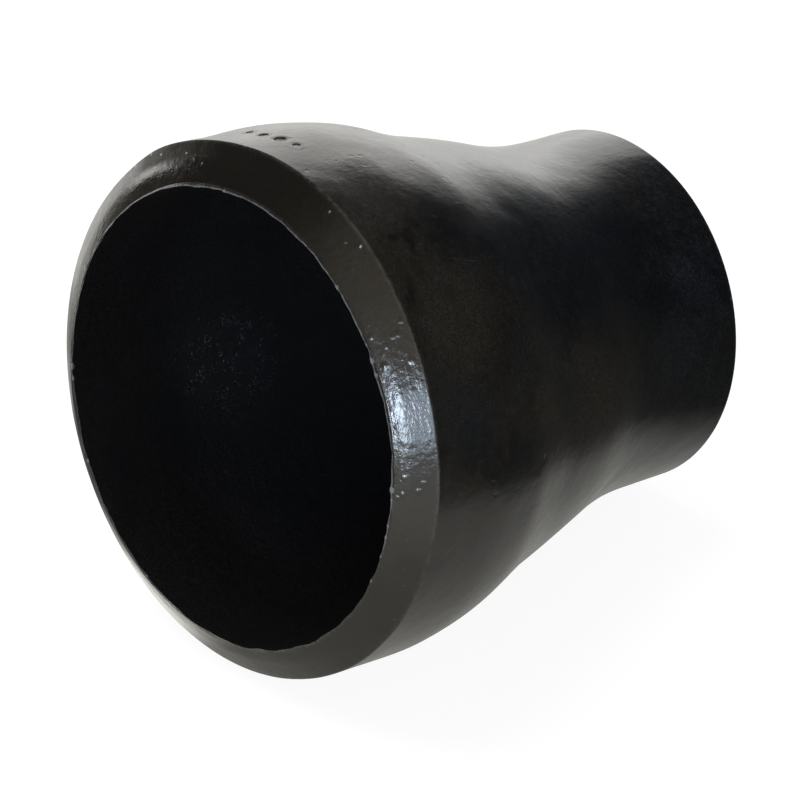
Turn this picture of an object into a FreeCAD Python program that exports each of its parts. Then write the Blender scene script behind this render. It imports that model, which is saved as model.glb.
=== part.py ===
# Butt-welding concentric reducer, seamless wrought steel, 88.9 mm pipe to 60.3 mm pipe.
#
# One body of revolution: a straight tangent at each end, with a convex shoulder, a
# straight cone and a concave throat between them, a matching bore, and a V-bevel
# with a narrow root face at each end.
#
# Frame: millimetres, origin at the centre of the large end's root face.
# +Y runs along the bore axis from the large end to the small end, +Z is up.
import FreeCAD, Part
import math
import os

# ---- driving dimensions (mm, degrees) ---------------------------------------
LARGE_OD = 88.9        # outside diameter at the large end
SMALL_OD = 60.3        # outside diameter at the small end
LENGTH = 89.0          # root face to root face
LARGE_WALL = 6.3       # wall thickness at the large end
SMALL_WALL = 4.5       # wall thickness at the small end
BEVEL_DEG = 37.5       # bevel angle, measured from the plane of the end face
ROOT_FACE = 0.8        # width of the flat root face left at the bore
LARGE_TANGENT = 15.5   # straight length at the large end, from the root face
SMALL_TANGENT = 13.2   # straight length at the small end, from the root face
SHOULDER_R = 40.0      # outside radius of the convex shoulder, beside the large end
THROAT_R = 60.0        # outside radius of the concave throat, beside the small end

# ---- derived ----------------------------------------------------------------
LARGE_RADIUS = LARGE_OD / 2
SMALL_RADIUS = SMALL_OD / 2
LARGE_BORE = LARGE_RADIUS - LARGE_WALL   # bore radius at the large end
SMALL_BORE = SMALL_RADIUS - SMALL_WALL   # bore radius at the small end
SHOULDER_Y = LARGE_TANGENT               # where the shoulder leaves the tangent
THROAT_Y = LENGTH - SMALL_TANGENT        # where the throat meets the tangent


def bevel_depth(wall):
    """Length of a bevel along the axis."""
    return (wall - ROOT_FACE) * math.tan(math.radians(BEVEL_DEG))


def point(y, radius):
    """A point of the section, which lies in the YZ plane."""
    return FreeCAD.Vector(0, y, radius)


def line(start, end):
    return Part.LineSegment(start, end).toShape()


def arc(start, middle, end):
    return Part.Arc(start, middle, end).toShape()


def cone_angle(drop, shoulder, throat):
    """Half-angle, in radians, of the cone tangent to both arcs over the drop in radius.

    Tangency requires (arcs - drop) * cos(angle) + run * sin(angle) = arcs,
    where arcs is the sum of the two arc radii and run is the axial distance.
    """
    run = THROAT_Y - SHOULDER_Y
    arcs = shoulder + throat
    return math.atan2(run, arcs - drop) - math.acos(arcs / math.hypot(arcs - drop, run))


def flank_points(large_radius, small_radius, shoulder, throat):
    """Start, middle and end of the shoulder arc, then of the throat arc."""
    angle = cone_angle(large_radius - small_radius, shoulder, throat)
    shoulder_centre = large_radius - shoulder
    throat_centre = small_radius + throat

    def on_shoulder(turn):
        return point(SHOULDER_Y + shoulder * math.sin(turn),
                     shoulder_centre + shoulder * math.cos(turn))

    def on_throat(turn):
        return point(THROAT_Y - throat * math.sin(turn),
                     throat_centre - throat * math.cos(turn))

    return ([on_shoulder(turn) for turn in (0, angle / 2, angle)]
            + [on_throat(turn) for turn in (angle, angle / 2, 0)])


def flank_edges(points):
    """Arc, straight cone line, arc."""
    return [arc(*points[:3]), line(points[2], points[3]), arc(*points[3:])]


def reducer_body():
    outer = flank_points(LARGE_RADIUS, SMALL_RADIUS, SHOULDER_R, THROAT_R)
    # The bore's arcs share the centre heights of the outside arcs. The walls differ,
    # so the bore's cone has its own angle. Its points run back to the large end.
    bore = flank_points(LARGE_BORE, SMALL_BORE,
                        SHOULDER_R - LARGE_WALL, THROAT_R + SMALL_WALL)[::-1]

    large_bore_edge = point(0, LARGE_BORE)
    large_root_edge = point(0, LARGE_BORE + ROOT_FACE)
    large_bevel_edge = point(bevel_depth(LARGE_WALL), LARGE_RADIUS)
    small_bevel_edge = point(LENGTH - bevel_depth(SMALL_WALL), SMALL_RADIUS)
    small_root_edge = point(LENGTH, SMALL_BORE + ROOT_FACE)
    small_bore_edge = point(LENGTH, SMALL_BORE)

    edges = [
        # large end: root face, then bevel
        line(large_bore_edge, large_root_edge),
        line(large_root_edge, large_bevel_edge),
        # outside
        line(large_bevel_edge, outer[0]),
        *flank_edges(outer),
        line(outer[-1], small_bevel_edge),
        # small end: bevel, then root face
        line(small_bevel_edge, small_root_edge),
        line(small_root_edge, small_bore_edge),
        # bore, back to the large end
        line(small_bore_edge, bore[0]),
        *flank_edges(bore),
        line(bore[-1], large_bore_edge),
    ]
    section = Part.Face(Part.Wire(edges))
    solid = section.revolve(FreeCAD.Vector(0, 0, 0), FreeCAD.Vector(0, 1, 0), 360)
    # The revolve can come out inside out, depending on which way the section faces.
    if solid.Volume < 0:
        solid.reverse()
    return solid


os.makedirs("parts", exist_ok=True)
reducer_body().exportStep("parts/reducer_body.step")
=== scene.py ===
# A concentric butt-weld pipe reducer, pressed from steel and coated in black varnish.
# Its axis is +Y, with the large end at y = 0. Angles round it start at +Z and turn toward +X.
# The stage is tilted so that the reducer lies on its side on a pale floor.
import math
from functools import reduce
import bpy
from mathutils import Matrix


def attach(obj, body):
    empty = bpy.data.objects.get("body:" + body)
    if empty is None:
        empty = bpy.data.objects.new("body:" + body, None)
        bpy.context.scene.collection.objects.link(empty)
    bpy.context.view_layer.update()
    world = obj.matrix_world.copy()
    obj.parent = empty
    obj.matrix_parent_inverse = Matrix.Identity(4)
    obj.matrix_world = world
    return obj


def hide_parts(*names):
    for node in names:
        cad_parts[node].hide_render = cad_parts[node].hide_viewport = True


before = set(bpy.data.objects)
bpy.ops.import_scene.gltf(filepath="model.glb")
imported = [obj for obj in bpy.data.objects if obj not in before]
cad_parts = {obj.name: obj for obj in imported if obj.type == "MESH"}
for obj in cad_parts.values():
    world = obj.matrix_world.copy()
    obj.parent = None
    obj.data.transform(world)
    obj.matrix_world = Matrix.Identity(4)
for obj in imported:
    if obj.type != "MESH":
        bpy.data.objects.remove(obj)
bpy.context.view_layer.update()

from types import SimpleNamespace

import bpy
import numpy as np
from mathutils import Matrix, Vector

TAU = 2 * math.pi
DEG = 180 / math.pi

# ---------------------------------------------------------------- sizes, mm
BIG_RADIUS, SMALL_RADIUS = 44.45, 30.15
LENGTH = 89.0
BIG_WALL, SMALL_WALL = 6.3, 4.5
BIG_BORE, SMALL_BORE = BIG_RADIUS - BIG_WALL, SMALL_RADIUS - SMALL_WALL
ROOT_FACE = 0.8                          # width of the flat ring beside each bore
BEVEL_ANGLE = math.radians(37.5)
TAPER_START, TAPER_END = 15.5, 75.8      # y where the straight collars stop
SHOULDER_ARC, THROAT_ARC = 40.0, 60.0    # outside radii of the taper's two bends
TAN_BEVEL, COS_BEVEL, SIN_BEVEL = math.tan(BEVEL_ANGLE), math.cos(BEVEL_ANGLE), math.sin(BEVEL_ANGLE)
BIG_BEVEL = (BIG_WALL - ROOT_FACE) * TAN_BEVEL       # bevel depths along y
SMALL_BEVEL = (SMALL_WALL - ROOT_FACE) * TAN_BEVEL
SMALL_RIM = LENGTH - SMALL_BEVEL
AROUND = 480                             # points round each row

# big radius, small radius, shoulder arc, throat arc
OUTSIDE = (BIG_RADIUS, SMALL_RADIUS, SHOULDER_ARC, THROAT_ARC)
BORE = (BIG_BORE, SMALL_BORE, SHOULDER_ARC - BIG_WALL, THROAT_ARC + SMALL_WALL)


def on_circle(radius, degrees):
    """The (x, z) of a place round the axis."""
    angle = math.radians(degrees)
    return radius * math.sin(angle), radius * math.cos(angle)


# punch marks on the large collar: angle, y, reach
PUNCHES = [(-16.2, 11.4, 0.72), (-11.4, 11.1, 0.84), (-6.5, 11.2, 1.05), (-1.6, 11.2, 0.68)]

# beads of film on the large lip: angle, reach
BEAD_ANGLES = [
    (35.0, 0.50), (50.5, 0.42), (54.5, 0.62), (58.0, 0.45), (86.0, 0.70),
    (88.5, 0.45), (95.5, 0.40), (98.5, 0.42), (104.0, 0.38), (112.0, 0.42),
    (-98.0, 0.70), (-101.0, 0.50), (-8.0, 0.40), (205.0, 0.40), (238.0, 0.45)]
BEADS = [(*on_circle(BIG_BORE + 0.10, angle), reach) for angle, reach in BEAD_ANGLES]  # x, z, reach


# ---------------------------------------------------------------- repeatable noise on points
def lattice_hash(ix, iy, iz, seed):
    h = (
        ix.astype(np.uint32) * np.uint32(374761393)
        + iy.astype(np.uint32) * np.uint32(668265263)
        + iz.astype(np.uint32) * np.uint32(2147483647)
        + np.uint32((seed * 1274126177) & 0xFFFFFFFF)
    )
    h = (h ^ (h >> np.uint32(13))) * np.uint32(1274126177)
    h = h ^ (h >> np.uint32(16))
    return h.astype(np.float64) / 4294967295.0 * 2 - 1


def noise(points, size, seed, octaves=1):
    """Smooth value noise in about -1..1, for (n, 3) points and a feature size in mm."""
    out = np.zeros(len(points))
    strength, total = 1.0, 0.0
    for octave in range(octaves):
        place = points / size * (2.0 ** octave) + 1000.0 + 17.31 * octave
        cell = np.floor(place).astype(np.int64)
        frac = place - cell
        ease = frac * frac * frac * (frac * (frac * 6 - 15) + 10)
        value = 0.0
        for dx in (0, 1):
            for dy in (0, 1):
                for dz in (0, 1):
                    weight = (
                        (ease[:, 0] if dx else 1 - ease[:, 0])
                        * (ease[:, 1] if dy else 1 - ease[:, 1])
                        * (ease[:, 2] if dz else 1 - ease[:, 2])
                    )
                    value = value + weight * lattice_hash(
                        cell[:, 0] + dx, cell[:, 1] + dy, cell[:, 2] + dz, seed + 31 * octave)
        out += strength * value
        total += strength
        strength *= 0.5
    return out / total * 1.6


def smoothstep(start, end, x):
    t = np.clip((x - start) / (end - start), 0, 1)
    return t * t * (3 - 2 * t)


def bell(distance, width):
    return np.exp(-((distance / width) ** 2))


def degrees_from(turn, degrees):
    """Signed angle in degrees from a place round the fitting."""
    return (np.degrees(turn) - degrees + 180.0) % 360.0 - 180.0


# ---------------------------------------------------------------- the ideal section, in (y, radius)
def cone_angle(shoulder, throat, drop, run):
    """Slope of the cone that joins the two bends, by bisection."""
    def miss(angle):
        straight = (run - (shoulder + throat) * math.sin(angle)) / math.cos(angle)
        return (shoulder + throat) * (1 - math.cos(angle)) + straight * math.sin(angle) - drop

    low, high = 0.01, 1.2
    for _ in range(80):
        mid = (low + high) / 2
        if miss(low) * miss(mid) <= 0:
            high = mid
        else:
            low = mid
    return (low + high) / 2


def flank(y, big, small, shoulder, throat):
    """Radius at y of a wall: straight, arc, cone, arc, straight."""
    angle = cone_angle(shoulder, throat, big - small, TAPER_END - TAPER_START)
    cone_start = TAPER_START + shoulder * math.sin(angle)
    cone_end = TAPER_END - throat * math.sin(angle)
    y = np.asarray(y, float)
    r = np.full(y.shape, big)
    m = (y > TAPER_START) & (y <= cone_start)
    r[m] = big - shoulder + np.sqrt(shoulder**2 - (y[m] - TAPER_START) ** 2)
    m = (y > cone_start) & (y <= cone_end)
    r[m] = big - shoulder * (1 - math.cos(angle)) - (y[m] - cone_start) * math.tan(angle)
    m = (y > cone_end) & (y < TAPER_END)
    r[m] = small + throat - np.sqrt(throat**2 - (TAPER_END - y[m]) ** 2)
    r[y >= TAPER_END] = small
    return r


def rounded(corners, radii, step=0.02):
    """A closed polyline with rounded corners. Returns its points and the leg each is on:
    k from corner k to the next, k - 0.5 on the rounding of corner k."""
    count = len(corners)
    cuts = []                            # start and end of each rounding, and its centre
    for k in range(count):
        before, corner, after = corners[k - 1], corners[k], corners[(k + 1) % count]
        if radii[k] <= 0:
            cuts.append((corner, corner, None))
            continue
        u = (before - corner) / np.linalg.norm(before - corner)
        v = (after - corner) / np.linalg.norm(after - corner)
        half = math.acos(np.clip(u @ v, -1, 1)) / 2
        back = radii[k] / math.tan(half)
        centre = corner + (u + v) / np.linalg.norm(u + v) * radii[k] / math.sin(half)
        cuts.append((corner + u * back, corner + v * back, centre))
    points, legs = [], []
    for k in range(count):
        start, end, centre = cuts[k]
        if centre is not None:
            angle = math.atan2(*(start - centre)[::-1])
            sweep = (math.atan2(*(end - centre)[::-1]) - angle + math.pi) % TAU - math.pi
            steps = max(6, int(abs(sweep) * radii[k] / step))
            for t in np.linspace(0, 1, steps, endpoint=False):
                spoke = np.array([math.cos(angle + sweep * t), math.sin(angle + sweep * t)])
                points.append(centre + radii[k] * spoke)
                legs.append(k - 0.5)
        following = cuts[(k + 1) % count][0]
        steps = max(2, int(np.linalg.norm(following - end) / step))
        for t in np.linspace(0, 1, steps, endpoint=False):
            points.append(end + (following - end) * t)
            legs.append(k)
    return np.array(points), np.array(legs)


# corners, walking large bevel, outside, small bevel, small root face, bore, large root face
y_out = np.linspace(BIG_BEVEL, SMALL_RIM, 400)
y_in = np.linspace(LENGTH, 0, 400)
outer = np.stack([y_out, flank(y_out, *OUTSIDE)], 1)
inner = np.stack([y_in, flank(y_in, *BORE)], 1)
n_outer, n_inner = len(outer), len(inner)
corners = [
    np.array([0.0, BIG_BORE + ROOT_FACE]),
    *outer,
    np.array([LENGTH, SMALL_BORE + ROOT_FACE]),
    np.array([LENGTH, SMALL_BORE]),
    *inner[1:-1],
    np.array([0.0, BIG_BORE]),
]
roundings = [0.12, 0.30, *[0.0] * (n_outer - 2), 0.26, 0.12, 0.12, *[0.0] * (n_inner - 2), 0.12]
path, leg = rounded(corners, roundings)

ZONES = BEVEL_BIG, OUTER, BEVEL_SMALL, ROOT_SMALL, INNER, ROOT_BIG = range(6)
zone = np.select(
    [leg < 0.75, leg < n_outer - 0.25, leg < n_outer + 0.75, leg < n_outer + 1.75,
     leg < len(corners) - 1.25],
    ZONES[:5], ROOT_BIG)
zone[leg < -0.2] = ROOT_BIG

# row spacing along the path, mm: by zone, finer near the roundings and under the punch marks
segment = np.linalg.norm(np.roll(path, -1, 0) - path, axis=1)
arc = np.concatenate([[0], np.cumsum(segment)])
spacing = np.array([0.46, 1.04, 0.42, 0.24, 2.1, 0.24])[zone]
on_rounding = np.abs(leg - np.round(leg)) > 0.2
to_rounding = np.full(len(path), 1e9)
for k in np.where(on_rounding)[0][::5]:
    gap = np.abs(arc[:-1] - arc[k])
    to_rounding = np.minimum(to_rounding, np.minimum(gap, arc[-1] - gap))
spacing = np.minimum(spacing, 0.10 + 0.28 * to_rounding)
punched = (zone == OUTER) & (path[:, 0] > 8.0) & (path[:, 0] < 14.5)
spacing = np.where(punched, np.minimum(spacing, 0.62), spacing)
row_count = np.concatenate([[0], np.cumsum(segment / spacing)])
ROWS = int(round(row_count[-1]))
row_arc = np.interp(np.arange(ROWS) / ROWS * row_count[-1], row_count, arc)
closed = np.vstack([path, path[:1]])
row_y = np.interp(row_arc, arc, closed[:, 0])
row_radius = np.interp(row_arc, arc, closed[:, 1])
row_zone = zone[np.clip(np.searchsorted(arc, row_arc, "right") - 1, 0, len(zone) - 1)]

# every point of the ideal body, row by row
theta = np.arange(AROUND) / AROUND * TAU
turn = np.tile(theta, ROWS)
ideal_y, ideal_r, point_zone = (np.repeat(row, AROUND) for row in (row_y, row_radius, row_zone))
ideal = np.stack([ideal_r * np.sin(turn), ideal_y, ideal_r * np.cos(turn)], 1)
bevel_big, outside, bevel_small, root_small, inside, root_big = (point_zone == k for k in ZONES)

# ---------------------------------------------------------------- how the skin and bore wander
# Gaussian smoothing of the outside: the pressed arcs and straights run softly together
smooth_y = np.linspace(-12, LENGTH + 12, 2261)
smooth_r = flank(smooth_y, *OUTSIDE)
kernel = np.exp(-((np.arange(-120, 121) * (smooth_y[1] - smooth_y[0]) / 2.4) ** 2) / 2)
softening = np.convolve(
    np.pad(smooth_r, 120, mode="edge"), kernel / kernel.sum(), "valid") - smooth_r


def outside_offset(turn, y):
    """How far the pressed outside skin stands off the ideal one, mm, radially."""
    r = flank(y, *OUTSIDE)
    p = np.stack([r * np.sin(turn), y, r * np.cos(turn)], 1)
    big = 1 - smoothstep(8, 66, y)
    # shallow rings and hollows along y
    rings = (0.24 * bell(y - 29.5, 4.2) - 0.20 * bell(y - 40, 5) + 0.22 * bell(y - 54, 6.5)
             - 0.26 * smoothstep(62, 82, y)) + np.interp(y, smooth_y, softening)
    off = rings * (0.85 + 0.3 * np.cos(turn - 0.7) + 0.2 * np.cos(3 * turn + 1.0))
    # bore turned a little off centre, then out-of-round
    off += 0.28 * np.cos(turn - math.radians(8)) * big
    off += (0.10 * np.cos(2 * (turn - 0.5)) + 0.05 * np.cos(3 * (turn - 2.2))) * big
    off += 0.07 * np.cos(2 * (turn - 2.6)) * (1 - big)
    # a raised patch beside the crown
    off += (0.30 * bell(degrees_from(turn, 27.0), 9.0)
            * smoothstep(3, 9, y) * (1 - smoothstep(21, 30, y)))
    off += 0.085 * noise(p, 27, 3)
    off += 0.045 * noise(p, 9.0, 5, 2)
    off += 0.014 * noise(p, 3.1, 7)
    return off


def bore_offset(turn, y):
    """Radial wander of the bore, with a ragged mouth at each end."""
    p = np.stack([30 * np.sin(turn), y, 30 * np.cos(turn)], 1)
    off = 0.14 * noise(p, 20, 11) + 0.06 * noise(p * [1, 0.7, 1], 6.5, 13, 2)
    off += 0.15 * noise(p, 2.3, 15, 2) * (np.exp(-y) + np.exp(-(LENGTH - y)))
    return off


def at_end(offset, y):
    """An offset taken at one y only, for every row."""
    return np.tile(offset(theta, np.full(AROUND, y)), ROWS)


rim_big, rim_small = at_end(outside_offset, BIG_BEVEL), at_end(outside_offset, SMALL_RIM)
mouth_big, mouth_small = at_end(bore_offset, 0.0), at_end(bore_offset, LENGTH)


def skin_distance(degrees, y):
    """Distance over the skin from a place on it, mm."""
    return np.hypot(np.radians(degrees_from(turn, degrees)) * ideal_r, ideal_y - y)


# ---------------------------------------------------------------- outside skin
# dents and scabs: angle, y, radius, depth
DENTS = [(42, 25.5, 1.5, 0.10), (-7, 27.5, 0.9, 0.16), (1, 27.0, 0.7, 0.12), (8, 31, 1.0, 0.07),
         (118, 60, 2.6, 0.10), (205, 33, 3.2, 0.14), (255, 48, 2.2, 0.12), (300, 20, 2.0, 0.12)]
rng = np.random.RandomState(41)
for _ in range(26):
    DENTS.append((rng.uniform(0, 360), rng.uniform(7, 82),
                  rng.uniform(0.7, 1.7), rng.uniform(-0.05, 0.09)))

skin_off = np.where(outside, outside_offset(turn, ideal_y), 0.0)
for angle, y, radius, depth in DENTS:
    skin_off -= np.where(outside, depth * bell(skin_distance(angle, y), radius), 0)
for angle, y, reach in PUNCHES:
    away = skin_distance(angle, y)
    pit = 0.36 * reach * np.exp(-(away / reach) ** 4)
    raised_ring = 0.06 * bell(away - reach - 0.45, 0.35)
    skin_off -= np.where(outside, pit - raised_ring, 0)
new_r = ideal_r + skin_off
# the rims slide along the true bevels as the skin wanders
slide = TAN_BEVEL * (rim_big * (1 - smoothstep(BIG_BEVEL, BIG_BEVEL + 7, ideal_y))
                     - rim_small * smoothstep(SMALL_RIM - 7, SMALL_RIM, ideal_y))
new_y = ideal_y + np.where(outside, slide, 0)

# ---------------------------------------------------------------- bevels
# how far up each bevel a point is, 0 at its foot and 1 at its rim
up_big = np.clip((ideal_r - (BIG_BORE + ROOT_FACE)) / (BIG_WALL - ROOT_FACE), -0.05, 1.05)
up_small = np.clip((ideal_r - (SMALL_BORE + ROOT_FACE)) / (SMALL_WALL - ROOT_FACE), -0.05, 1.05)
flat = ideal * [1, 0, 1]
# the foot is dressed back, more so toward -X
wide = bell(degrees_from(turn, -40), 25.0) + 0.45 * bell(degrees_from(turn, -84), 13.0)
wide = wide * (1 + 0.22 * noise(flat, 7.0, 51))
foot = 0.34 + 0.10 * wide
foot_sag = 0.24 + 0.40 * wide
SMALL_FOOT_SAG = 0.08
belly = 0.03 + 0.30 * bell(degrees_from(turn, -36), 27.0)
sag_big = (foot_sag * np.clip((foot - up_big) / foot, 0, 1) ** 1.35
           - belly * np.sin(np.pi * np.clip(up_big, 0, 1)))
sag_small = SMALL_FOOT_SAG * np.clip((0.36 - up_small) / 0.36, 0, 1) ** 2
# the large rim stands a little proud 30 degrees from the crown toward -X
proud = -0.46 * bell(degrees_from(turn, -30), 16.0) * (1 + 0.25 * noise(flat, 6.0, 53))
sag_big = sag_big + proud * np.clip((up_big - 0.50) / 0.50, 0, 1) ** 1.3
ripple = 0.016 * noise(ideal, 2.6, 21, 2) + 0.03 * noise(ideal, 9.0, 23)
ripple *= 1 - np.where(bevel_big, smoothstep(0.85, 1.0, up_big), smoothstep(0.85, 1.0, up_small))
proud_fade = np.where(outside, 1 - smoothstep(BIG_BEVEL, BIG_BEVEL + 5, ideal_y), 0)
new_y += proud_fade * proud * COS_BEVEL
new_r -= proud_fade * proud * SIN_BEVEL
# side is +1 where inward along y is +y, -1 where it is -y
for here, up, rim, sag, side in ((bevel_big, up_big, rim_big, sag_big, 1),
                                 (bevel_small, up_small, rim_small, sag_small, -1)):
    cut = sag - ripple
    new_y = np.where(here, ideal_y + side * (up * rim * TAN_BEVEL + cut * COS_BEVEL), new_y)
    new_r = np.where(here, ideal_r + up * rim - cut * SIN_BEVEL, new_r)

# ---------------------------------------------------------------- bore and root faces
new_r += np.where(inside, bore_offset(turn, ideal_y), 0.0)
burr = 0.08 * noise(ideal, 1.5, 31, 2) + 0.06 * noise(ideal, 5.0, 33)
BURR_REACH = 3                           # how far into the bore the burr is felt
# zone, bore radius, mouth wander, foot sag, least burr, distance from the end, side as above
for here, bore, mouth, sag, least, from_end, side in (
        (root_big, BIG_BORE, mouth_big, foot_sag, 0.06, ideal_y, 1),
        (root_small, SMALL_BORE, mouth_small, SMALL_FOOT_SAG, 0.05, LENGTH - ideal_y, -1)):
    across = np.clip((ideal_r - bore) / ROOT_FACE, 0, 1)
    cut = sag - ripple
    root_r = ideal_r + (1 - across) * mouth - across * cut * SIN_BEVEL
    root_y = ideal_y + side * (across * cut * COS_BEVEL + (1 - across) * (least + burr))
    new_r = np.where(here, root_r, new_r)
    new_y = np.where(here, root_y, new_y)
    mouth_y = ideal_y + side * (least + burr) * (1 - from_end / BURR_REACH)
    new_y = np.where(inside & (from_end < BURR_REACH), mouth_y, new_y)

for x, z, reach in BEADS:
    away = np.sqrt((ideal[:, 0] - x) ** 2 + (ideal[:, 1] - 0.05) ** 2 + (ideal[:, 2] - z) ** 2)
    lump = 0.36 * reach * bell(away, reach)
    new_y -= 0.55 * lump
    new_r -= 0.80 * lump


# ---------------------------------------------------------------- body mesh
def build_body():
    verts = np.stack([new_r * np.sin(turn), new_y, new_r * np.cos(turn)], 1) / 1000.0
    grid = np.arange(ROWS * AROUND).reshape(ROWS, AROUND)
    next_row = np.roll(grid, -1, axis=0)
    # wound so that the faces look outward
    quads = np.stack([grid, np.roll(grid, -1, axis=1), np.roll(next_row, -1, axis=1), next_row],
                     -1).reshape(-1, 4)
    mesh = bpy.data.meshes.new("pressed_body")
    mesh.vertices.add(len(verts))
    mesh.vertices.foreach_set("co", verts.astype(np.float32).ravel())
    mesh.loops.add(len(quads) * 4)
    mesh.loops.foreach_set("vertex_index", quads.astype(np.int32).ravel())
    mesh.polygons.add(len(quads))
    mesh.polygons.foreach_set("loop_start", (np.arange(len(quads)) * 4).astype(np.int32))
    mesh.polygons.foreach_set("use_smooth", np.ones(len(quads), bool))
    mesh.update(calc_edges=True)
    mesh.validate()

    # a mask round a circle on each end: radius, y and width, large end then small; it marks wear,
    # and on the outer rims also a painted highlight
    def wear(r0, y0, width0, r1, y1, width1):
        return (bell(np.hypot(ideal_r - r0, ideal_y - y0), width0)
                + bell(np.hypot(ideal_r - r1, ideal_y - y1), width1))

    # the bore side of the lip keeps its film
    bore_side = np.where(inside, bell(np.minimum(ideal_y, LENGTH - ideal_y), 0.10), 1.0)
    for name, values in (
            ("bevel_zone", bevel_big | bevel_small),
            ("bore_zone", inside),
            ("root_zone", root_big | root_small),
            ("rim_wear_and_sheen", wear(BIG_RADIUS, BIG_BEVEL, 0.34, SMALL_RADIUS, SMALL_RIM, 0.32)),
            ("lip_wear", wear(BIG_BORE, 0, 0.38, SMALL_BORE, LENGTH, 0.36) * bore_side)):
        layer = mesh.attributes.new(name, "FLOAT", "POINT")
        layer.data.foreach_set("value", values.astype(np.float32))
    body = bpy.data.objects.new("pressed_body", mesh)
    bpy.context.scene.collection.objects.link(body)
    return body


# ---------------------------------------------------------------- node helpers
class Field:
    """A socket in a node graph. Arithmetic on it adds math nodes."""

    def __init__(self, graph, socket):
        self.graph = graph
        self.socket = socket

    def __add__(self, other): return self.graph.math("ADD", self, other)
    def __radd__(self, other): return self.graph.math("ADD", other, self)
    def __sub__(self, other): return self.graph.math("SUBTRACT", self, other)
    def __rsub__(self, other): return self.graph.math("SUBTRACT", other, self)
    def __mul__(self, other): return self.graph.math("MULTIPLY", self, other)
    def __pow__(self, other): return self.graph.math("POWER", self, other)
    def __abs__(self): return self.graph.math("ABSOLUTE", self)
    def max(self, other): return self.graph.math("MAXIMUM", self, other)
    def min(self, other): return self.graph.math("MINIMUM", self, other)

    def ramp(self, over, to=(0.0, 1.0), kind="LINEAR"):
        inputs = {"Value": self, "From Min": over[0], "From Max": over[1],
                  "To Min": to[0], "To Max": to[1]}
        return self.graph.field("ShaderNodeMapRange", inputs, "Result",
                                interpolation_type=kind, clamp=True)

    def step(self, zero, one):
        """A smooth step from 0 at the value zero to 1 at the value one."""
        return self.ramp((zero, one), kind="SMOOTHSTEP")

    def within(self, first, second):
        """Two steps multiplied, each given as (zero, one)."""
        return self.step(*first) * self.step(*second)

    def band(self, low, high, soft):
        return self.within((low - soft, low + soft), (high + soft, high - soft))

    def between(self, off, on):
        """off where this field is 0, on where it is 1."""
        return self.graph.field("ShaderNodeMix", {0: self, 2: off, 3: on},
                                data_type="FLOAT", clamp_factor=True)

    def color(self, off, on, blend="MIX", clamp=True):
        """The same for colours."""
        off, on = (c if isinstance(c, Field) else (*c, 1.0) for c in (off, on))
        return self.graph.field("ShaderNodeMix", {0: self, 6: off, 7: on}, 2,
                                data_type="RGBA", blend_type=blend, clamp_factor=clamp)


class Graph:
    def __init__(self, tree):
        self.tree = tree
        tree.nodes.clear()

    def node(self, kind, inputs=None, **settings):
        node = self.tree.nodes.new(kind)
        for name, value in settings.items():
            setattr(node, name, value)
        for key, value in (inputs or {}).items():
            if isinstance(value, Field):
                self.tree.links.new(value.socket, node.inputs[key])
            else:
                node.inputs[key].default_value = value
        return node

    def field(self, kind, inputs=None, output=0, **settings):
        return Field(self, self.node(kind, inputs, **settings).outputs[output])

    def math(self, operation, *values, clamp=False):
        return self.field("ShaderNodeMath", dict(enumerate(values)),
                          operation=operation, use_clamp=clamp)

    def vector(self, operation, a, b):
        output = "Value" if operation in ("DOT_PRODUCT", "DISTANCE") else "Vector"
        return self.field("ShaderNodeVectorMath", {0: a, 1: b}, output, operation=operation)

    def scale(self, vector, amount):
        return self.field("ShaderNodeVectorMath", {0: vector, "Scale": amount}, "Vector",
                          operation="SCALE")

    def noise(self, place, scale, detail=2.0, rough=0.5, distort=0.0, seed=0):
        if seed:
            place = self.vector("ADD", place, (seed * 13.7, seed * 7.3, seed * 29.1))
        inputs = {"Vector": place, "Scale": scale, "Detail": detail, "Roughness": rough,
                  "Distortion": distort}
        return self.field("ShaderNodeTexNoise", inputs, "Fac", noise_dimensions="3D")

    def cells(self, place, scale, shift=None):
        """Distance to scattered points."""
        if shift:
            place = self.vector("ADD", place, shift)
        inputs = {"Vector": place, "Scale": scale, "Randomness": 1.0}
        return self.field("ShaderNodeTexVoronoi", inputs, "Distance",
                          voronoi_dimensions="3D", feature="F1")


def most(fields):
    return reduce(Field.max, fields)


# ---------------------------------------------------------------- the varnish
# brown haze where the film is thin: centre mm, reach mm, amount
HAZE = [((33.0, 10.0, 30.0), 19.0, 0.80), ((35.5, 48.0, 4.0), 17.0, 0.95),
        ((32.0, 33.0, 22.0), 11.0, 0.75), ((41.0, 26.0, 10.0), 12.0, 0.55),
        ((-30.0, 22.0, 30.0), 20.0, 0.7), ((-36.0, 52.0, -6.0), 15.0, 0.8),
        ((5.0, 30.0, -40.0), 22.0, 0.7), ((12.0, 72.0, 28.0), 9.0, 0.45),
        ((-8.0, 60.0, -34.0), 12.0, 0.6)]
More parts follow.
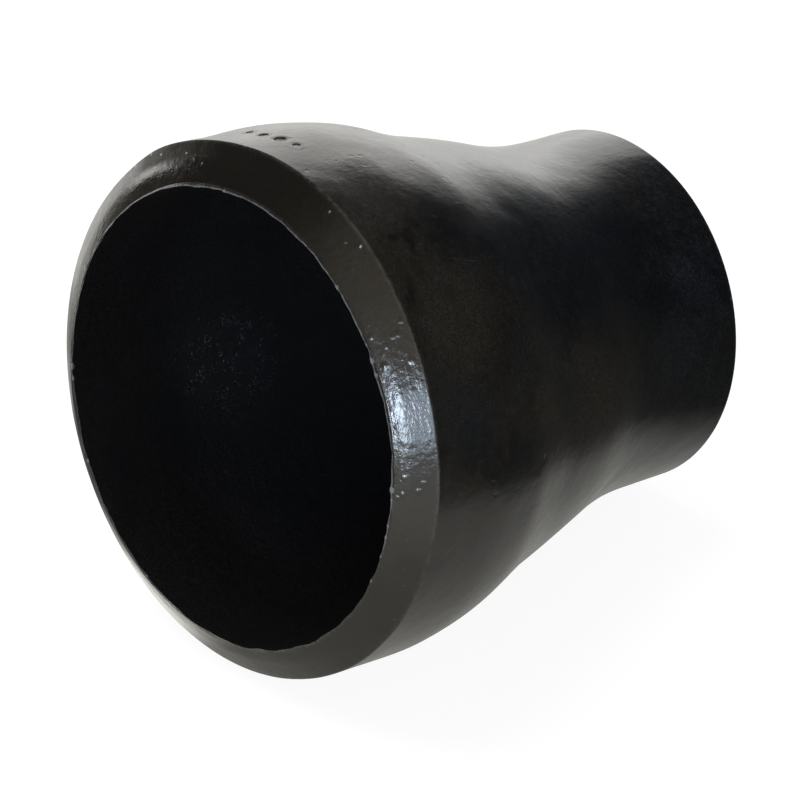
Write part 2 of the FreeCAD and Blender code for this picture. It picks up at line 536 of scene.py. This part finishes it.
# ragged blots on the skin: colour, amount, then centre mm and reach mm of each
BLOTS = [
    ((0.0012, 0.0016, 0.0026), 0.75, [      # dark
        ((28.3, 55.7, 18.4), 12.0), ((32.0, 53.3, 13.2), 6.0), ((18.8, 67.6, 24.3), 7.0),
        ((43.7, 22.0, 4.0), 5.5), ((23.9, 20.4, 37.1), 5.5), ((18.5, 25.0, 38.6), 6.5),
        ((25.0, 32.0, 33.0), 5.0), ((30.0, 67.0, 15.0), 6.0), ((33.0, 36.0, 24.0), 5.5),
        ((-26.0, 40.0, 28.0), 10.0), ((8.0, 34.0, -38.0), 9.0), ((-35.0, 20.0, -20.0), 8.0)]),
    ((0.0115, 0.0130, 0.0165), 0.44, [      # blue-grey
        ((42.3, 10.0, 13.5), 8.0), ((29.4, 72.6, 6.2), 6.0), ((25.5, 79.6, 15.3), 4.5),
        ((12.0, 50.0, 33.0), 8.0), ((-24.0, 70.0, 14.0), 7.0), ((-10.0, 60.0, -34.0), 8.0)]),
    ((0.0270, 0.0230, 0.0160), 0.46, [      # brown
        ((34.8, 51.5, 3.5), 10.0), ((36.0, 15.0, 26.0), 8.0), ((33.5, 44.0, 12.0), 5.0),
        ((40.0, 31.0, 11.3), 4.5), ((-33.0, 46.0, 6.0), 9.0), ((18.0, 20.0, -38.0), 9.0)]),
]
# grit caught in the bore, also painted with a bluish glint: centre mm, reach mm
GRIT_AND_GLINTS = [((-33.6, 31.0, -10.0), 13.0), ((20.0, 30.0, 28.0), 11.0), ((28.0, 55.0, -8.0), 9.0)]
# pimpled arcs of the bevels: angle, half width
CRUSTS = [(53.0, 8.0), (84.0, 6.0), (-4.0, 3.0), (-118.0, 9.0)]
# long thin rub marks on the skin: angle, from y, to y, lean in degrees per mm
RUBS = [(39.0, 17.5, 25.5, 0.35), (12.0, 44.0, 53.0, 0.3), (97.0, 22.0, 37.0, 0.18),
        (150.0, 30.0, 52.0, -0.2), (-138.0, 18.0, 44.0, 0.15), (-72.0, 36.0, 66.0, -0.1),
        (-30.0, 50.0, 70.0, 0.2)]


def varnish_fields(g):
    """Places in mm and degrees, the zones of the body, and the noises that several parts use."""
    f = SimpleNamespace()
    place = g.field("ShaderNodeTexCoord", output="Object")
    f.mm = g.scale(place, 1000.0)
    parts = g.node("ShaderNodeSeparateXYZ", {0: f.mm})
    x, f.y, z = (Field(g, socket) for socket in parts.outputs)
    f.radius = g.math("SQRT", x * x + z * z)
    f.turn = g.math("ARCTAN2", x, z) * DEG
    f.bevel, f.bore, f.root, f.rim, f.lip = (
        g.field("ShaderNodeAttribute", output="Fac", attribute_name=name,
                attribute_type="GEOMETRY")
        for name in ("bevel_zone", "bore_zone", "root_zone", "rim_wear_and_sheen", "lip_wear"))
    f.skin = 1.0 - f.bevel.max(f.bore.max(f.root))
    f.low_arc = abs(f.turn - 138.0).step(zero=48.0, one=40.0)       # smoother underside, +X
    f.clouds = g.noise(f.mm, scale=0.046, detail=3, rough=0.55, distort=0.6, seed=1)
    f.blotch = g.noise(f.mm, scale=0.14, detail=4, rough=0.6, distort=0.3, seed=2)
    f.mottle = g.noise(f.mm, scale=0.62, detail=3, rough=0.6, seed=3)
    f.grain = g.noise(f.mm, scale=1.7, rough=0.6, seed=25)
    f.drift = g.noise(f.mm, scale=0.16, seed=9)
    return f


def varnish_marks(g, f):
    """Masks for dust, grit with a painted glint, rubs and wear, added to the fields."""
    f.big_end = (f.y + (f.clouds - 0.5) * 60.0).step(zero=46.0, one=10.0)
    dust = f.clouds.step(zero=0.36, one=0.66) * f.big_end.between(0.10, 1.0)
    more_dust = f.blotch.step(zero=0.50, one=0.74) * 0.35 * f.big_end
    f.dust = g.math("ADD", dust, more_dust, clamp=True)

    f.gritty = most(g.vector("DISTANCE", f.mm, centre).step(zero=reach, one=reach * 0.3)
                    for centre, reach in GRIT_AND_GLINTS)
    grit_size = (g.noise(f.mm, scale=0.30, seed=24) - 0.5) * 1.3
    grains = g.cells(f.mm, scale=1.5, shift=(13.0, 29.0, 3.0)) + grit_size
    f.grit = grains.step(zero=0.30, one=0.08) * (f.bore * (0.16 + f.gritty * 0.84))

    rubs = most(
        abs(f.turn - angle - (f.y - start) * lean).step(zero=0.28, one=0.06)
        * f.y.within((start, start + 1.5), (end, end - 2.5))
        for angle, start, end, lean in RUBS)
    f.rubs = rubs * f.skin * g.noise(f.mm, scale=0.5, seed=14).step(zero=0.38, one=0.58)

    # thin film over the sharp rims, painted lighter: partly wear, partly a painted highlight along
    # the rim edges
    wear = g.noise(f.mm, scale=1.1, detail=4, rough=0.65, seed=15)
    f.thin_rim = f.rim.min(1.0) * wear.step(zero=0.30, one=0.66)

    # bare steel along the ragged lips, more at the small end, and in a few chips
    ragged = (g.noise(f.mm, scale=0.85, detail=3, rough=0.6, seed=16) - 0.5) * 1.1
    bare_lip = (f.lip + ragged).step(zero=0.40, one=0.66) * f.lip.step(zero=0.16, one=0.36)
    worn_arc = abs(f.turn - 40.0).step(zero=70.0, one=56.0)
    bare_lip = bare_lip * f.y.step(zero=40.0, one=50.0).between(0.025 + worn_arc * 0.15, 0.16)
    chip_size = (g.noise(f.mm, scale=2.2, rough=0.6, seed=17) - 0.5) * 0.5
    chips = g.cells(f.mm, scale=0.42, shift=(71.0, 3.0, 23.0)) + chip_size
    chips = (chips.step(zero=0.11, one=0.03) * f.drift.step(zero=0.46, one=0.50)
             * (f.bevel * 0.55).max(f.thin_rim))
    f.bare = bare_lip.max(chips * (1.0 - f.low_arc * 0.92))


def varnish_color(g, f):
    """Black film, browner and dustier toward the large end and bluer on the neck.
    The factor on each mask is how strongly its colour is laid on."""
    haze = most(
        g.vector("DISTANCE", f.mm, centre).step(zero=reach * 1.15, one=reach * 0.2) * amount
        for centre, reach, amount in HAZE)
    haze = haze * (f.blotch + (f.clouds - 0.5) * 0.6).step(zero=0.34, one=0.60)
    patch = g.noise(f.mm, scale=0.105, detail=4, rough=0.62, distort=0.4, seed=26)
    color = f.big_end.color((0.0026, 0.0031, 0.0042), (0.0110, 0.0088, 0.0056))
    for mask, paint in (
            (f.dust * 0.40, (0.0175, 0.0150, 0.0110)),
            (haze * 0.8, (0.0165, 0.0138, 0.0098)),
            (patch.step(zero=0.50, one=0.68) * 0.45, (0.0150, 0.0155, 0.0175)),
            (patch.step(zero=0.48, one=0.36) * 0.75, (0.0012, 0.0014, 0.0019)),
            (f.mottle.ramp(over=(0.45, 0.75)) * 0.16, (0.030, 0.030, 0.031))):
        color = mask.color(color, paint)
    edge = (g.noise(f.mm, scale=0.16, detail=4, rough=0.62, distort=0.3, seed=28) - 0.5) * 16.0
    for paint, amount, spots in BLOTS:
        blots = most(
            (g.vector("DISTANCE", f.mm, centre) + edge).step(zero=reach * 1.45, one=reach * 0.35)
            for centre, reach in spots)
        color = (blots * amount).color(color, paint)

    # fine grain in the brightness, harsher away from the large end
    speck = g.noise(f.mm, scale=3.8, detail=1, rough=0.6, seed=4)
    gain = (speck.ramp(over=(0.30, 0.70), to=(0.45, 1.55))
            * f.grain.ramp(over=(0.30, 0.70), to=(0.72, 1.28)))
    gain = gain ** f.y.step(zero=16.0, one=32.0).between(0.72, 1.40)
    color = g.scale(g.vector("ADD", color, (0.0016, 0.0016, 0.0016)), gain)

    color = (f.bore * 0.9).color(color, (0.0057, 0.0057, 0.0065))
    bore_speck = speck.ramp(over=(0.34, 0.66), to=(0.55, 1.60))
    color = g.scale(color, f.bore.between(1.0, bore_speck))
    color = (f.bevel * 0.60).color(color, (0.0150, 0.0122, 0.0080))
    # painted shade: the upper part of each bevel, about the crown, is painted darker
    bevel_top_shade = f.bevel * abs(f.turn + 2.0).step(zero=36.0, one=14.0)
    color = g.scale(color, 1.0 - bevel_top_shade * 0.55)

    rust = g.noise(f.mm, scale=0.7, detail=3, rough=0.6, seed=18).step(zero=0.50, one=0.68)
    steel = rust.color((0.60, 0.60, 0.61), (0.40, 0.29, 0.22))
    # painted highlight: the beads of film on the large lip are painted pale grey, as glints
    bead_glints = most(
        g.vector("DISTANCE", f.mm, (x, -0.12, z)).step(zero=reach * 1.05, one=reach * 0.55)
        for x, z, reach in BEADS)
    for mask, paint in (
            # painted highlight: the grit and its zones in the bore are painted light blue-grey, as
            # glints of the window; the grit bumps are real
            (f.bore * f.gritty * 0.09, (0.030, 0.032, 0.039)),
            (f.grit * 0.12, (0.075, 0.084, 0.118)),
            (f.rubs * 0.32, (0.045, 0.043, 0.039)),
            # the sharp rims painted light grey: partly wear, partly a painted highlight
            (f.thin_rim * 0.45, (0.060, 0.058, 0.054)),
            (f.bare, steel),
            (bead_glints * 0.75, (0.17, 0.18, 0.19))):
        color = mask.color(color, paint)
    return color


def varnish_gloss(g, f):
    """Roughness and specular level."""
    rough = f.dust.between(0.215, 0.285) + (f.mottle - 0.5) * 0.10
    bevel_rough = 0.145 + f.blotch.step(zero=0.45, one=0.7) * 0.06
    # a dull outer part of the large bevel, near the crown toward -X
    dull = (f.bevel * f.radius.step(zero=41.7, one=43.0)
            * abs(f.turn + 29.0).step(zero=17.0, one=9.0))
    for mask, value in ((f.rubs * 0.6, 0.42), (f.bore, 0.30), (f.bevel, bevel_rough),
                        (f.thin_rim, 0.30), (f.bare, 0.44), (f.grit, 0.22), (dull, 0.36)):
        rough = mask.between(rough, value)
    # a thicker run of film beside the crown
    run = g.vector("DISTANCE", f.mm, (12.2, 14.0, 42.7))
    glossy = f.skin * run.step(zero=11.5, one=5.0)
    return rough, dull.between(0.5, 0.12) + glossy * 0.55


def varnish_relief(g, f):
    """Height of the surface in mm. The factor on each field is its height."""
    # pimples and small bubbles in drifts, and pits
    low_bevel = f.bevel * abs(f.turn - 140.0).step(zero=50.0, one=44.0)
    crust = most(abs(f.turn - angle).step(zero=half, one=half * 0.4) for angle, half in CRUSTS)
    drifts = f.drift.step(zero=0.56, one=0.64) * (0.5 - low_bevel * 0.45)
    pimples = g.cells(f.mm, scale=0.54).step(zero=0.44, one=0.06) * drifts.max(crust)
    bubble_drift = g.noise(f.mm, scale=0.22, seed=10).step(zero=0.50, one=0.62)
    bubbles = (g.cells(f.mm, scale=1.25, shift=(31.7, 11.3, 7.1)).step(zero=0.30, one=0.08)
               * (bubble_drift * (1.0 - low_bevel * 0.8)))
    pits = g.cells(f.mm, scale=0.36, shift=(5.1, 47.3, 19.9)) + (f.grain - 0.5) * 0.25
    pits = (pits.step(zero=0.17, one=0.06)
            * g.noise(f.mm, scale=0.09, seed=12).step(zero=0.42, one=0.58))

    # skin: orange peel, fine grain and marks drawn out along the axis
    peel = g.noise(f.mm, scale=0.60, detail=3, rough=0.55, seed=6) * 0.046
    fine = g.noise(f.mm, scale=2.8, rough=0.6, seed=7) * 0.013
    along = g.vector("MULTIPLY", f.mm, (1.0, 0.22, 1.0))
    skin = peel + fine + g.noise(along, scale=1.5, seed=19) * 0.010
    skin = skin + (bubbles * 0.008 + pits * f.y.step(zero=56.0, one=34.0) * -0.040)
    skin = skin + f.rubs * -0.010

    # bevels: lumps, turning rings every 0.5 mm and streaks stretched along the radius
    wobble = g.noise(f.mm, scale=0.06, detail=1) * 1.2
    rings = g.math("SINE", (f.radius + wobble) * (TAU / 0.50))
    bevel = g.noise(f.mm, scale=0.85, rough=0.45, seed=8) * 0.052 + fine * 1.2
    bevel = bevel + rings * 0.0006
    polar = g.field("ShaderNodeCombineXYZ", {0: f.turn * 0.67, 1: f.radius * 2.4, 2: f.y * 2.4})
    streaks = g.noise(polar, scale=0.75, seed=27) - 0.5
    bevel = bevel + streaks * f.low_arc.between(0.033, 0.012)
    bevel = bevel + (pimples * 0.070 + bubbles * 0.014)

    bore = (g.noise(f.mm, scale=1.6, detail=3, rough=0.6, seed=20) * 0.10
            + g.noise(f.mm, scale=0.45, seed=21) * 0.12)
    root = g.noise(f.mm, scale=1.3, detail=3, rough=0.6, seed=22) * 0.12
    height = f.bore.between(f.bevel.between(skin, bevel), bore)
    height = f.root.between(height + f.grit * 0.055, root)
    height = height + f.bare * -0.010
    # the punch marks again, crisp
    for angle, y, reach in PUNCHES:
        x, z = on_circle(BIG_RADIUS, angle)
        mark = g.vector("DISTANCE", f.mm, (x, y, z)).step(zero=reach + 0.15, one=reach - 0.25)
        height = height + mark * (-0.19 * reach)
    return height


def varnish():
    mat = bpy.data.materials.new("black_varnish")
    mat.use_nodes = True
    g = Graph(mat.node_tree)
    f = varnish_fields(g)
    varnish_marks(g, f)
    rough, specular = varnish_gloss(g, f)
    bump = g.field("ShaderNodeBump", {
        "Strength": 1.0, "Distance": 0.001, "Height": varnish_relief(g, f)})
    surface = g.field("ShaderNodeBsdfPrincipled", {
        "Base Color": varnish_color(g, f), "Metallic": f.bare * 0.85, "Roughness": rough,
        "Specular IOR Level": specular, "IOR": 1.5, "Normal": bump})
    g.node("ShaderNodeOutputMaterial", {"Surface": surface})
    return mat


body = build_body()
body.data.materials.append(varnish())
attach(body, "root")
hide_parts("reducer_body")

# ---------------------------------------------------------------- stage, m
VIEW = Matrix((
    (0.68166417, -0.35369299, 0.64049608, 0.74343929),
    (0.72654715, 0.22385659, -0.64962872, -0.71530504),
    (0.08638986, 0.90817922, 0.40956965, 0.46922770),
    (0, 0, 0, 1)))
UP = Vector((0.0, -0.17192910, 0.98510933))        # straight up when it lies on its side
VIEW_BACK = VIEW.col[2].to_3d()
FORWARD = -VIEW_BACK - (-VIEW_BACK).dot(UP) * UP   # level, away from the camera
FORWARD.normalize()
RIGHT = FORWARD.cross(UP)
MIDDLE = Vector((0, LENGTH / 2000, 0))
LOW_RIM = Vector((0, BIG_BEVEL / 1000, -BIG_RADIUS / 1000))
FLOOR_GAP = 0.0003
FLOOR_HALF = 0.9
floor_centre = MIDDLE - UP * (MIDDLE - LOW_RIM).dot(UP)
floor_centre = floor_centre - UP * FLOOR_GAP


def build_floor():
    mesh = bpy.data.meshes.new("floor")
    points = [floor_centre + RIGHT * (x * FLOOR_HALF) + FORWARD * (y * FLOOR_HALF)
              for x, y in ((-1, -1), (1, -1), (1, 1), (-1, 1))]
    mesh.from_pydata([tuple(p) for p in points], [], [(0, 1, 2, 3)])
    floor = bpy.data.objects.new("floor", mesh)
    bpy.context.scene.collection.objects.link(floor)
    return floor


def floor_glow(g, position):
    """Colour and strength of what the varnish mirrors: bright paper with dark parts.
    Distances are from the floor's centre in m, azimuths in degrees from FORWARD toward RIGHT,
    and each pair given to within is a step's (zero, one)."""
    offset = g.vector("SUBTRACT", position, tuple(floor_centre))
    x = g.vector("DOT_PRODUCT", offset, tuple(RIGHT))
    y = g.vector("DOT_PRODUCT", offset, tuple(FORWARD))
    away = g.math("SQRT", x * x + y * y)
    azimuth = g.math("ARCTAN2", x, y) * DEG
    x_mm, y_mm = x * 1000.0, y * 1000.0

    # dark past the paper's edge on the right
    edge_x = 58.0 + (y * -1000.0 * 1.0).max(0.0) * 0.25
    past = (x * 1000.0 - edge_x).step(zero=-12.0, one=12.0)
    back_y = y * 1000.0 + (x * 1000.0 - 70.0).max(0.0) * 0.6
    past = past * (back_y.step(zero=-95.0, one=-58.0) * azimuth.step(zero=18.0, one=30.0))
    # dim sector on the left, wider far out
    left_far = azimuth.within((-54.0, -64.0), (-140.0, -120.0)) * away.step(zero=0.07, one=0.13)
    left_far = left_far.max(
        azimuth.within((-43.0, -53.0), (-140.0, -120.0)) * away.step(zero=0.40, one=0.55))
    # brighter patches: ahead, left in the middle distance, and close by on the left
    ahead = away.step(zero=0.20, one=0.75) * 0.60 * azimuth.within((-36.0, -26.0), (30.0, 16.0))
    left_mid = (azimuth.within((-54.0, -47.0), (-27.0, -34.0))
                * away.within((0.17, 0.27), (0.95, 0.60)))
    near_left = (x_mm.within((-37.0, -46.0), (-66.0, -50.0))
                 * y_mm.within((9.0, -6.0), (-60.0, -40.0)))
    # two dimmer patches on the left
    dim_near = (y_mm.within((8.0, 16.0), (54.0, 38.0))
                * x_mm.within((-50.0, -57.0), (-92.0, -78.0)))
    dim_far = (y_mm.within((62.0, 76.0), (112.0, 96.0))
               * x_mm.within((-58.0, -70.0), (-135.0, -115.0)))

    glow = away.step(zero=0.05, one=0.20).between(0.47, 1.08)
    glow = glow + ahead + left_mid * 0.26 + near_left * 0.95
    glow = glow * (1.0 - (dim_near * 0.72 + dim_far * 0.42))
    glow = past.between(left_far.between(glow, 0.22), 0.075)
    color = away.step(zero=0.10, one=0.45).color((1.01, 1.0, 0.94), (1.0, 0.997, 0.98))
    return color, glow


def pale_floor():
    mat = bpy.data.materials.new("pale_floor")
    mat.use_nodes = True
    g = Graph(mat.node_tree)
    geometry = g.node("ShaderNodeNewGeometry")
    position, backfacing = (Field(g, geometry.outputs[k]) for k in ("Position", "Backfacing"))
    camera_ray = g.field("ShaderNodeLightPath", output="Is Camera Ray")
    # the camera sees paper with a little light of its own: white, but with a soft shadow
    diffuse = g.field("ShaderNodeBsdfDiffuse", {"Color": (0.15, 0.15, 0.15, 1)})
    own_light = g.field("ShaderNodeEmission", {"Strength": 0.925})
    seen = g.field("ShaderNodeAddShader", {0: diffuse, 1: own_light})
    color, strength = floor_glow(g, position)
    mirrored = g.field("ShaderNodeEmission", {"Color": color, "Strength": strength})
    paper = g.field("ShaderNodeMixShader", {0: camera_ray, 1: mirrored, 2: seen})
    # clear to the camera from below
    clear = g.field("ShaderNodeBsdfTransparent")
    surface = g.field("ShaderNodeMixShader", {0: backfacing * camera_ray, 1: paper, 2: clear})
    g.node("ShaderNodeOutputMaterial", {"Surface": surface})
    return mat


floor = build_floor()
floor.data.materials.append(pale_floor())

# ---------------------------------------------------------------- surroundings
WINDOW_AZIMUTH, WINDOW_ELEVATION = -166.0, 11.0    # behind the camera


def build_world():
    """Backdrop, ceiling and window as the varnish mirrors them. Angles are in degrees."""
    world = bpy.data.worlds.new("studio")
    bpy.context.scene.world = world
    world.use_nodes = True
    g = Graph(world.node_tree)
    ray = g.field("ShaderNodeTexCoord", output="Generated")
    x, y, z = (g.vector("DOT_PRODUCT", ray, tuple(axis)) for axis in (RIGHT, FORWARD, UP))
    azimuth = g.math("ARCTAN2", x, y) * DEG
    elevation = g.math("ARCSINE", z) * DEG

    # white backdrop ahead, with a top that rises and falls, and a low piece on its left
    top = azimuth.ramp(over=(-26.0, 5.0), to=(11.5, 36.0)).min(
        azimuth.ramp(over=(6.0, 18.0), to=(36.0, 23.0)))
    backdrop = azimuth.within((-63.0, -57.0), (32.0, 14.0)) * (elevation - top).step(6.0, -6.0)
    low_left = azimuth.band(-62.0, -36.0, soft=5.0) * elevation.within((-2.0, 1.0), (13.0, 7.0))
    ceiling = (elevation.step(zero=38.0, one=70.0)
               * (1.0 - azimuth.band(-112.0, -55.0, soft=8.0) * 0.8))

    # window, the bright strip in it, and the soft glow round it
    turn, rise = math.radians(WINDOW_AZIMUTH), math.radians(WINDOW_ELEVATION)
    direction = (RIGHT * (math.sin(turn) * math.cos(rise))
                 + FORWARD * (math.cos(turn) * math.cos(rise)) + UP * math.sin(rise))
    across = g.math("MODULO", azimuth + 360.0, 360.0) - (WINDOW_AZIMUTH + 360.0)
    window = across.band(-9.0, 21.5, soft=1.5) * elevation.within((0.0, 3.0), (21.0, 13.0))
    strip = across.band(12.0, 20.3, soft=1.4) * elevation.within((0.2, 2.8), (16.0, 10.0))
    from_window = g.math("ARCCOSINE", g.vector("DOT_PRODUCT", ray, tuple(direction))) * DEG
    halo = from_window.step(zero=95.0, one=18.0) ** 2.4

    ambient = g.node("ShaderNodeRGB")
    ambient.outputs[0].default_value = (0.040, 0.045, 0.054, 1)
    color = Field(g, ambient.outputs[0])
    for mask, light in (
            (backdrop, (1.90, 1.88, 1.81)),
            (low_left, (1.45, 1.43, 1.38)),
            (ceiling, (0.30, 0.27, 0.23)),
            (halo, (0.68, 0.63, 0.555)),
            (window, (3.7, 4.7, 5.9)),
            (strip, (23.5, 27.6, 32.2))):
        color = mask.color(color, light, blend="ADD", clamp=False)
    # the camera itself sees plain white
    camera_ray = g.field("ShaderNodeLightPath", output="Is Camera Ray")
    background = g.field("ShaderNodeBackground", {
        "Color": camera_ray.color(color, (1.0, 1.0, 1.0))})
    g.node("ShaderNodeOutputWorld", {"Surface": background})


def build_overhead():
    """Soft light that only shapes the floor shadow and the dull part of the finish."""
    light = bpy.data.lights.new("overhead", "AREA")
    light.shape = "DISK"
    light.size = 0.9
    light.energy = 9.0
    lamp = bpy.data.objects.new("overhead", light)
    bpy.context.scene.collection.objects.link(lamp)
    lamp.location = floor_centre + UP * 0.9 - RIGHT * 0.25 + FORWARD * 0.25
    lamp.rotation_mode = "QUATERNION"
    lamp.rotation_quaternion = (lamp.location - MIDDLE).to_track_quat("Z", "Y")
    lamp.visible_glossy = False
    lamp.visible_camera = False


def build_camera():
    lens = bpy.data.cameras.new("view")
    camera = bpy.data.objects.new("view", lens)
    bpy.context.scene.collection.objects.link(camera)
    lens.sensor_width = 36.0
    lens.lens = 317.655
    lens.clip_start, lens.clip_end = 0.05, 20.0
    camera.matrix_world = VIEW
    bpy.context.scene.camera = camera


build_world()
build_overhead()
build_camera()
bpy.context.scene.view_settings.view_transform = "Standard"
